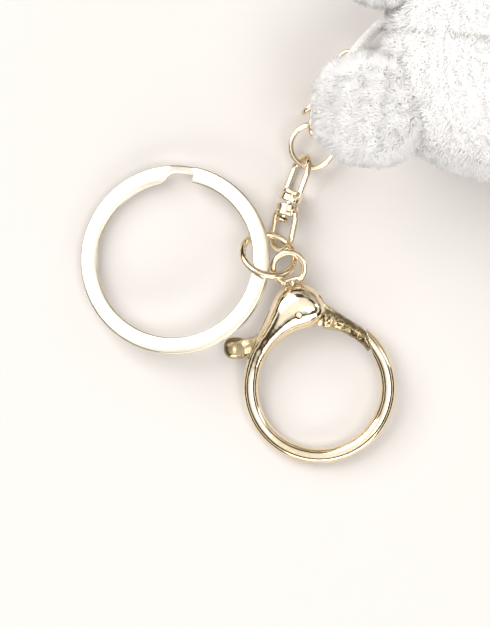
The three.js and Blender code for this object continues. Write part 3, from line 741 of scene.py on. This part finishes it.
def clasp_small_parts(m):
    place = clasp_place()
    pin = cylinder("pin", PIVOT - UP * 2.8, PIVOT + UP * 2.8, 0.5, 36, 0.14)
    set_place(pin, place)
    dress(pin, "clasp_pivot_rivet", m["cast_gold"], "clasp", ["clasp_pivot_pin"], 40)
    low = LEVER_THICK / 2 - POCKET_DEEP + SPRING_HALF + SPRING_FIT
    turns = 2
    path = [
        PIVOT + Vector((SPRING_MID * math.cos(a), SPRING_MID * math.sin(a), low + 0.35 * a / TURN))
        for a in (TURN * turns * i / 120 for i in range(121))
    ]
    spring = wire_through("spring", path, SPRING_HALF, sides=12)
    set_place(spring, place)
    dress(spring, "clasp_spring_coil", m["steel"], "clasp", ["clasp_spring"])
    mid, wire, reach = 2.475, 1.05, EYE_REACH
    flat = HEAD_OUT - PIVOT.length + 0.35
    foot = -(reach - flat)
    half_width = math.sqrt(mid ** 2 - foot ** 2)
    start = math.atan2(foot, half_width)
    hoop = wire_through("hoop", arc((0, 0, 0), mid, start, math.pi - start, 90), wire / 2, sides=22)
    bar = cylinder("bar", (-half_width, foot + 0.36, 0), (half_width, foot + 0.36, 0), 0.36, 24)
    under = math.sqrt((SLOT_ROUND - 0.12) ** 2 - 0.95 ** 2)
    end = under - 0.4 - reach
    stem = cylinder("stem", (0, end, 0), (0, foot + 0.3, 0), 0.58, 28)
    flange = cylinder("flange", (0, end, 0), (0, end + 0.4, 0), 0.93, 32)
    eye = fuse([hoop, bar, stem, flange], "eye", 0.07, 3)
    centre = PIVOT + STEM_WAY * reach
    set_place(eye, place @ Matrix.Translation(centre * MM) @ Matrix.Rotation(rad(12.4), 4, "Z"))
    dress(eye, "clasp_eye_loop", m["wire_gold"], "clasp_eye", ["clasp_eye"], 40)


# ------------------------------------------------------------------ cord
CORD_ROUTE = [
    (33.0, 37.3, 22.5), (31.6, 36.1, 19.2), (30.6, 35.2, 14.5), (29.7, 34.4, 10.0), (28.6, 33.2, 7.4),
    (27.6, 31.95, 6.4), (27.05, 31.3, 4.4), (27.5, 31.8, 2.2), (28.7, 33.1, 1.3), (30.1, 34.5, 2.6),
    (31.2, 35.5, 6.2), (32.0, 36.2, 11.0), (32.9, 36.9, 15.5),
]


def catmull(points, per=10):
    """The smooth curve through the points that the design's tube follows."""
    pts = [Vector(p) for p in points]
    ends = [pts[0] * 2 - pts[1]] + pts + [pts[-1] * 2 - pts[-2]]
    out = []
    for i in range(1, len(ends) - 2):
        p0, p1, p2, p3 = ends[i - 1], ends[i], ends[i + 1], ends[i + 2]
        d = [max((b - a).length ** 0.5, 1e-6) for a, b in ((p0, p1), (p1, p2), (p2, p3))]
        t1 = ((p1 - p0) / d[0] - (p2 - p0) / (d[0] + d[1]) + (p2 - p1) / d[1]) * d[1]
        t2 = ((p2 - p1) / d[1] - (p3 - p1) / (d[1] + d[2]) + (p3 - p2) / d[2]) * d[1]
        for j in range(per):
            t = j / per
            a = p1 * 2 - p2 * 2 + t1 + t2
            b = p1 * -3 + p2 * 3 - t1 * 2 - t2
            out.append(p1 + t1 * t + b * t * t + a * t ** 3)
    out.append(pts[-1])
    return out


def resample(points, step):
    """The same line with its points a fixed step apart."""
    lengths = [0.0]
    for a, b in zip(points, points[1:]):
        lengths.append(lengths[-1] + (b - a).length)
    count = max(2, round(lengths[-1] / step))
    out, k = [], 0
    for i in range(count + 1):
        want = lengths[-1] * i / count
        while k < len(points) - 2 and lengths[k + 1] < want:
            k += 1
        share = (want - lengths[k]) / (lengths[k + 1] - lengths[k])
        out.append(points[k].lerp(points[k + 1], share))
    return out, lengths[-1]


def cord_loop(m):
    """Eight plaited strands stand proud of the tube's round section."""
    line = [plan(*p) for p in catmull(CORD_ROUTE)]
    line, length = resample(line, 0.12 * MM)
    pitch, strands, radius = 3.4 * MM, 4, 0.70 * MM
    side = None
    rings = []
    for i, p in enumerate(line):
        way = (line[min(i + 1, len(line) - 1)] - line[max(i - 1, 0)]).normalized()
        side = way.cross(UP) if side is None else side
        side = (side - way * side.dot(way)).normalized()
        up = side.cross(way)
        s = length * i / (len(line) - 1)
        ring = []
        for j in range(32):
            a = TURN * j / 32
            one = abs(math.cos((strands * a + TURN * s / pitch * strands / 2) / 2))
            two = abs(math.cos((strands * a - TURN * s / pitch * strands / 2) / 2))
            swell = max(one, two) ** 3
            r = radius * (0.88 + 0.2 * swell)
            ring.append(p + (side * math.cos(a) + up * math.sin(a)) * r)
        rings.append(ring)
    cord = mesh_from_rings("cord_loop_braid", rings)
    dress(cord, "cord_loop_braid", m["cord"], "plush", ["cord_loop"])


# ------------------------------------------------------------------ plush
PLUSH = Matrix.Translation(plan(58.8, 31.6, 19.4)) @ Matrix.Rotation(math.atan2(-0.12, 0.99), 4, "Z")
PILE = 1.2  # the backing cloth lies this far under the tips, in millimetres


def pad(name, middle, half, power, cuts=5):
    """A plump closed form from a rounded cube, so that its faces are even all over."""
    pick_none()
    bpy.ops.mesh.primitive_cube_add(size=2)
    obj = bpy.context.object
    obj.name = name
    bpy.ops.object.mode_set(mode="EDIT")
    bpy.ops.mesh.select_all(action="SELECT")
    bpy.ops.mesh.subdivide(number_cuts=2 ** cuts - 1)
    bpy.ops.object.mode_set(mode="OBJECT")
    for v in obj.data.vertices:
        d = Vector([math.tan(c * math.pi / 4) for c in v.co]).normalized()
        total = sum(abs(d[k] / half[k]) ** power for k in range(3))
        v.co = Vector(middle) + d * total ** (-1 / power)
    return obj


def inflate(obj, cap, pinned=None):
    """Stuffs a pad: the cloth is blown up a little and pulled in where it is stitched."""
    rest = [v.co.copy() for v in obj.data.vertices]
    obj.data.transform(Matrix.Scale(MM, 4))
    if pinned:
        group = obj.vertex_groups.new(name="stitched")
        group.add([i for i, p in enumerate(rest) if pinned(p)], 1.0, "REPLACE")
    focus(obj)
    tool = obj.modifiers.new("stuffing", "CLOTH")
    settings = tool.settings
    settings.quality = 6
    settings.mass = 0.02
    settings.tension_stiffness = 12
    settings.compression_stiffness = 12
    settings.bending_stiffness = 0.2
    settings.use_pressure = True
    settings.uniform_pressure_force = 4
    settings.effector_weights.gravity = 0
    if pinned:
        settings.vertex_group_mass = "stitched"
    scene = bpy.context.scene
    for f in range(1, 21):
        scene.frame_set(f)
    bpy.ops.object.modifier_apply(modifier=tool.name)
    scene.frame_set(1)
    obj.data.transform(Matrix.Scale(1 / MM, 4))
    for v, start in zip(obj.data.vertices, rest):
        by = v.co - start
        if by.length > cap:
            v.co = start + by * (cap / by.length)
    return obj


def finer(obj):
    """Irons the small creases out of blown-up cloth and gives it finer faces."""
    apply_modifier(obj, "SMOOTH", factor=0.5, iterations=8)
    apply_modifier(obj, "SUBSURF", levels=1)


def groove(obj, distance, depth, width):
    """Pulls the cloth in along a seam: distance gives a point's distance from the seam."""
    obj.data.update()
    normals = [v.normal.copy() for v in obj.data.vertices]
    for v, n in zip(obj.data.vertices, normals):
        t = abs(distance(v.co)) / width
        if t < 3:
            v.co -= n * depth * math.exp(-t * t)


def lumps(obj, height, size, seed):
    """Soft unevenness of stuffing and of clumped pile."""
    obj.data.update()
    shift = Vector((seed * 3.1, seed * 1.7, seed * 2.3))
    normals = [v.normal.copy() for v in obj.data.vertices]
    for v, n in zip(obj.data.vertices, normals):
        a = noise.noise(v.co / size + shift)
        b = noise.noise(v.co / (size * 0.4) + shift * 2)
        v.co += n * (a * 0.65 + b * 0.35) * height


def surface_samples(obj, count, seed):
    """Even random points on a mesh with their normals, as arrays."""
    mesh = obj.data
    mesh.calc_loop_triangles()
    tris = np.zeros(len(mesh.loop_triangles) * 3, np.int64)
    mesh.loop_triangles.foreach_get("vertices", tris)
    co = np.zeros(len(mesh.vertices) * 3)
    mesh.vertices.foreach_get("co", co)
    nor = np.zeros(len(mesh.vertices) * 3)
    mesh.vertices.foreach_get("normal", nor)
    tris, co, nor = tris.reshape(-1, 3), co.reshape(-1, 3), nor.reshape(-1, 3)
    a, b, c = co[tris[:, 0]], co[tris[:, 1]], co[tris[:, 2]]
    area = np.linalg.norm(np.cross(b - a, c - a), axis=1)
    share = np.cumsum(area) / area.sum()
    rng = np.random.RandomState(seed)
    which = np.searchsorted(share, (np.arange(count) + rng.rand(count)) / count).clip(0, len(tris) - 1)
    u, v = rng.rand(count), rng.rand(count)
    flip = u + v > 1
    u[flip], v[flip] = 1 - u[flip], 1 - v[flip]
    w = 1 - u - v
    t = tris[which]
    mix = lambda arr: arr[t[:, 0]] * w[:, None] + arr[t[:, 1]] * u[:, None] + arr[t[:, 2]] * v[:, None]
    normal = mix(nor)
    return mix(co), normal / np.linalg.norm(normal, axis=1)[:, None], rng


def wavy(points, scale, phase):
    """Three smooth fields of a few crossed waves, as an array of vectors."""
    k = 2 * math.pi / scale
    x, y, z = points[:, 0] * k, points[:, 1] * k, points[:, 2] * k
    fx = np.sin(y + 1.3 * np.sin(z * 0.7 + phase) + phase) + 0.6 * np.sin(2.1 * z + x + phase)
    fy = np.sin(z + 1.3 * np.sin(x * 0.7 + 2 * phase) + 1) + 0.6 * np.sin(2.1 * x + y + 2 * phase)
    fz = np.sin(x + 1.3 * np.sin(y * 0.7 + 3 * phase) + 2) + 0.6 * np.sin(2.1 * y + z + 3 * phase)
    return np.stack([fx, fy, fz], 1)


def pile(name, base, count, length, width, seed, comb=(0, 0, 0)):
    """A coat of tapered tufts, each a slim closed spike that leans with its neighbours."""
    root, normal, rng = surface_samples(base, count, seed)
    lean = wavy(root, 4.2, seed) * 0.3 + wavy(root, 1.7, seed + 5) * 0.25 + rng.randn(count, 3) * 0.25
    lean += np.array(comb)
    lean -= normal * np.sum(lean * normal, 1)[:, None]
    way = normal + lean
    way /= np.linalg.norm(way, axis=1)[:, None]
    size = length * (0.62 + 0.5 * rng.rand(count))
    across = np.cross(way, rng.randn(count, 3))
    across /= np.linalg.norm(across, axis=1)[:, None]
    other = np.cross(way, across)
    w = width * (0.7 + 0.6 * rng.rand(count))
    foot = root - normal * 0.35
    points = np.zeros((count, 4, 3))
    for k in range(3):
        a = TURN * k / 3
        points[:, k] = foot + (across * math.cos(a) + other * math.sin(a)) * w[:, None] / 2
    bend = wavy(root, 2.6, seed + 9) * 0.12
    points[:, 3] = foot + way * (size + 0.35)[:, None] + bend * size[:, None]
    first = np.arange(count)[:, None, None] * 4
    faces = np.array([[0, 2, 1], [0, 1, 3], [1, 2, 3], [2, 0, 3]])[None] + first
    mesh = bpy.data.meshes.new(name)
    mesh.vertices.add(count * 4)
    mesh.vertices.foreach_set("co", points.reshape(-1))
    mesh.loops.add(count * 12)
    mesh.loops.foreach_set("vertex_index", faces.reshape(-1).astype(np.int32))
    mesh.polygons.add(count * 4)
    mesh.polygons.foreach_set("loop_start", np.arange(count * 4, dtype=np.int32) * 3)
    mesh.update(calc_edges=True)
    obj = bpy.data.objects.new(name, mesh)
    bpy.context.scene.collection.objects.link(obj)
    return obj


def plush_piece(m, base, name, nodes, tufts, length, width, seed, comb=(0, 0, 0)):
    """Finishes a stuffed piece and lays its pile over it."""
    coat = pile(name + "_pile", base, tufts, length, width, seed, comb)
    for obj, paint in ((base, m["fur"]), (coat, m["strands"])):
        set_place(obj, PLUSH)
        obj.data.materials.clear()
        obj.data.materials.append(paint)
    smooth(base)
    smooth(coat)
    base.name = name + "_cloth"
    for obj in (base, coat):
        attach(obj, "plush")
    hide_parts(*nodes)


def bear(m):
    head = pad("head", (0, 0, 0), (27 - PILE, 21.2 - PILE, 19 - PILE), 3.0)
    inflate(head, 0.9, lambda p: abs(p.y) < 0.35 and p.x < 5)
    finer(head)
    lumps(head, 0.5, 7, 1)
    groove(head, lambda p: p.y if p.x < 2 else 9, 0.7, 0.7)
    plush_piece(m, head, "head", ["head_cover"], 49500, 1.45, 0.42, 11)
    body = pad("body", (44, 0, -1.5), (24 - PILE, 20 - PILE, 17.5 - PILE), 2.3)
    inflate(body, 0.9, lambda p: abs(p.y) < 0.35)
    finer(body)
    lumps(body, 0.5, 7, 2)
    groove(body, lambda p: p.y, 0.6, 0.7)
    plush_piece(m, body, "body", ["body_cover"], 49500, 1.45, 0.4, 12)
    muzzle = pad("muzzle", (9, 0, 17), (7.5 - 0.9, 9 - 0.9, 5.5 - 0.9), 2.0, 5)
    lumps(muzzle, 0.25, 4, 3)
    groove(muzzle, lambda p: p.y if p.z > 15 and p.x > 7 else 9, 0.5, 0.5)
    plush_piece(m, muzzle, "muzzle", ["muzzle"], 13000, 1.0, 0.3, 13)
    tail = pad("tail", (69, 0, -8), (5.5 - 1.2,) * 3, 2.0, 4)
    lumps(tail, 0.3, 4, 4)
    plush_piece(m, tail, "tail", ["tail"], 8000, 1.4, 0.36, 14)
    for name, side in (("left", 1), ("right", -1)):
        ear(m, name, side)
        limb(m, "arm_" + name, side, (31.5, 19.5, 1), 22, 6.2, 38, 6, 14000)
        limb(m, "leg_" + name, side, (62.5, 13.5, -4), 21, 7.6, 22, 2, 17000)
        eye(m, name, side)
    face(m)


def ear(m, name, side):
    """Two panels sewn round the rim, stuffed a little, with a shallow cup in front."""
    half = Vector((9.9, 9.2, 4.8))
    inner = half - Vector((PILE, PILE, PILE * 0.8))
    shape = pad("ear", (0, 0, 0), inner, 2.3, 5)
    inflate(shape, 0.8, lambda p: abs(p.z) < 0.2)
    for v in shape.data.vertices:
        inside = 1 - ((v.co.x - 1) / (half.x * 0.8)) ** 2 - (v.co.y / (half.y * 0.72)) ** 2
        if v.co.z > 0 and inside > 0:
            v.co.z -= 1.1 * inside
    lumps(shape, 0.5, 4.5, 5 + side)
    groove(shape, lambda p: p.z, 0.45, 0.5)
    turn = Matrix.Rotation(side * rad(-4), 4, "Z") @ Matrix.Rotation(-rad(28), 4, "Y")
    shape.data.transform(Matrix.Translation((-27.4, side * 12.3, 7.0)) @ turn)
    piece, back = "ear_" + name, (-0.25, side * 0.1, 0)
    plush_piece(m, shape, piece, [piece], 42000, 1.45, 0.32, 20 + side, back)


def limb(m, name, side, root, long, wide, splay, lift, tufts):
    half = Vector((long / 2, wide, wide * 0.92))
    inner = half - Vector((PILE, PILE, PILE))
    shape = pad("limb", (long / 2 - wide * 0.4, 0, 0), inner, 2.2, 5)
    inflate(shape, 0.7, lambda p: abs(p.z) < 0.2)
    lumps(shape, 0.4, 5, len(name) + side)
    groove(shape, lambda p: p.z, 0.4, 0.5)
    turn = Matrix.Rotation(side * rad(splay), 4, "Z") @ Matrix.Rotation(-rad(lift), 4, "Y")
    shape.data.transform(Matrix.Translation((root[0], side * root[1], root[2])) @ turn)
    plush_piece(m, shape, name, [name], tufts, 1.45, 0.36, 30 + side + len(name))


def eye(m, name, side):
    """A glossy safety button: a domed cap rolled over a thin rim, on its shank."""
    head_top = 19 * (1 - (1 / 27) ** 3 - (10 / 21.2) ** 3) ** (1 / 3)
    base = head_top + 0.55
    dome = ball("dome", (0, 0, 0), (2.6, 2.6, 2.0), 48, 28, 2.2)
    focus(dome)
    bpy.ops.object.mode_set(mode="EDIT")
    bpy.ops.mesh.select_all(action="SELECT")
    bpy.ops.mesh.bisect(plane_co=(0, 0, 0), plane_no=(0, 0, 1), clear_inner=True, use_fill=True)
    bpy.ops.object.mode_set(mode="OBJECT")
    apply_modifier(dome, "BEVEL", width=0.12, segments=3, limit_method="ANGLE", angle_limit=rad(50))
    shank = cylinder("shank", (0, 0, -5.4), (0, 0, 0.2), 0.9, 28, 0.15)
    button = join([dome, shank], "button")
    outward(button)
    set_place(button, PLUSH @ Matrix.Translation(Vector((-1, side * 10, base)) * MM))
    dress(button, "eye_button_" + name, m["black"], "plush", ["eye_" + name], 40)


def face(m):
    """A soft triangular nose and a short stitched mouth below it."""
    nose = ball("nose", (5.8, 0, 22.6), (2.3, 3.2, 1.9), 48, 30, 2.3)
    for v in nose.data.vertices:
        along = (v.co.x - 5.8) / 2.3
        v.co.y *= 1.0 - 0.28 * max(along, 0)
        v.co.z -= 0.25 * max(0, 1 - (v.co.y / 1.2) ** 2) * max(0, along)
    apply_modifier(nose, "SUBSURF", levels=1, render_levels=1)
    set_place(nose, PLUSH)
    dress(nose, "nose_button", m["black"], "plush", ["nose"])
    stitches = []
    for points in (
        [(8.1, 0, 22.3), (9.3, 0, 22.5), (10.6, 0, 22.3)],
        [(10.6, 0, 22.3), (11.6, 1.2, 21.6), (12.0, 2.6, 20.9), (11.6, 3.9, 20.3)],
        [(10.6, 0, 22.3), (11.6, -1.2, 21.6), (12.0, -2.6, 20.9), (11.6, -3.9, 20.3)],
    ):
        stitches.append(wire_through("stitch", catmull(points, 6), 0.24, sides=10))
    mouth = join(stitches, "mouth")
    set_place(mouth, PLUSH)
    dress(mouth, "mouth_stitches", m["thread"], "plush", [])


def hidden_pieces(m):
    """Filling and washers stay as the CAD nodes, with their own finishes."""
    for name, paint in (
        ("head_filling", "wadding"), ("body_filling", "wadding"),
        ("eye_washer_left", "plastic"), ("eye_washer_right", "plastic"),
    ):
        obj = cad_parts[name]
        obj.data.materials.clear()
        obj.data.materials.append(m[paint])


# ------------------------------------------------------------------ the whole
camera()
paints = make_materials()
cord_loop(paints)
studio()
floor()
split_ring(paints)
jump_ring(paints)
small_ring(paints)
chain_links(paints)
swivel(paints)
clasp_body(paints)
clasp_lever(paints)
clasp_small_parts(paints)
bear(paints)
hidden_pieces(paints)
